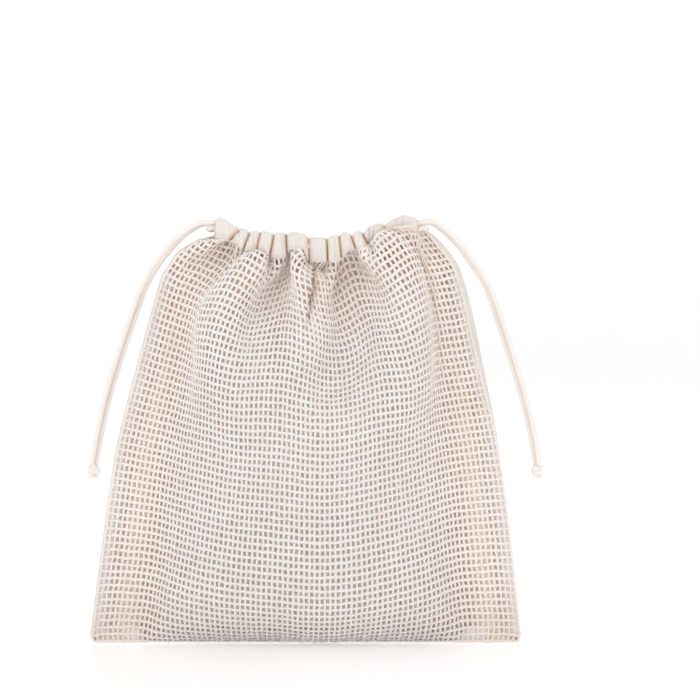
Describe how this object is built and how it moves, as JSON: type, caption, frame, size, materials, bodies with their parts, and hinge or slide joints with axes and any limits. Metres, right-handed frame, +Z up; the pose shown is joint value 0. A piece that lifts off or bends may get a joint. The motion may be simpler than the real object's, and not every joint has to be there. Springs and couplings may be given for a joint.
{
  "type": "mesh produce bag",
  "caption": "Reusable cotton net produce bag with a plain cotton back, gathered casing and double drawcords tied in knots.",
  "frame": {"origin": "middle of the base that the bag stands on, between the two side seams", "axes": "+Z up towards the drawn mouth, +X along the bottom seam to the right as seen from the net, the net faces -Y"},
  "size_m": [0.318, 0.0838, 0.296],
  "materials": {
    "net": "open woven cotton net, matt",
    "calico": "plain woven unbleached cotton, matt",
    "cord": "braided cotton cord, matt",
    "thread": "spun sewing thread"
  },
  "bodies": {
    "bag": {"front_mesh_panel": "net", "back_panel": "calico", "front_casing": "calico", "back_casing": "calico", "left_side_seam": "calico", "right_side_seam": "calico", "bottom_seam": "calico", "seam_overlocking": "thread", "front_casing_stitching": "thread", "back_casing_stitching": "thread"},
    "left_drawcord": {"left_drawcord_loop": "cord", "left_drawcord_front_tail": "cord", "left_drawcord_back_tail": "cord", "left_knot": "cord"},
    "right_drawcord": {"right_drawcord_loop": "cord", "right_drawcord_front_tail": "cord", "right_drawcord_back_tail": "cord", "right_knot": "cord"}
  },
  "joints": [
    {"name": "left_drawcord_pull", "type": "slide", "parent": "bag", "child": "left_drawcord", "axis": [-1, 0, 0], "range_m": [0, 0.06], "deforming": ["left_drawcord_loop"]},
    {"name": "right_drawcord_pull", "type": "slide", "parent": "bag", "child": "right_drawcord", "axis": [1, 0, 0], "range_m": [0, 0.06], "deforming": ["right_drawcord_loop"]}
  ]
}
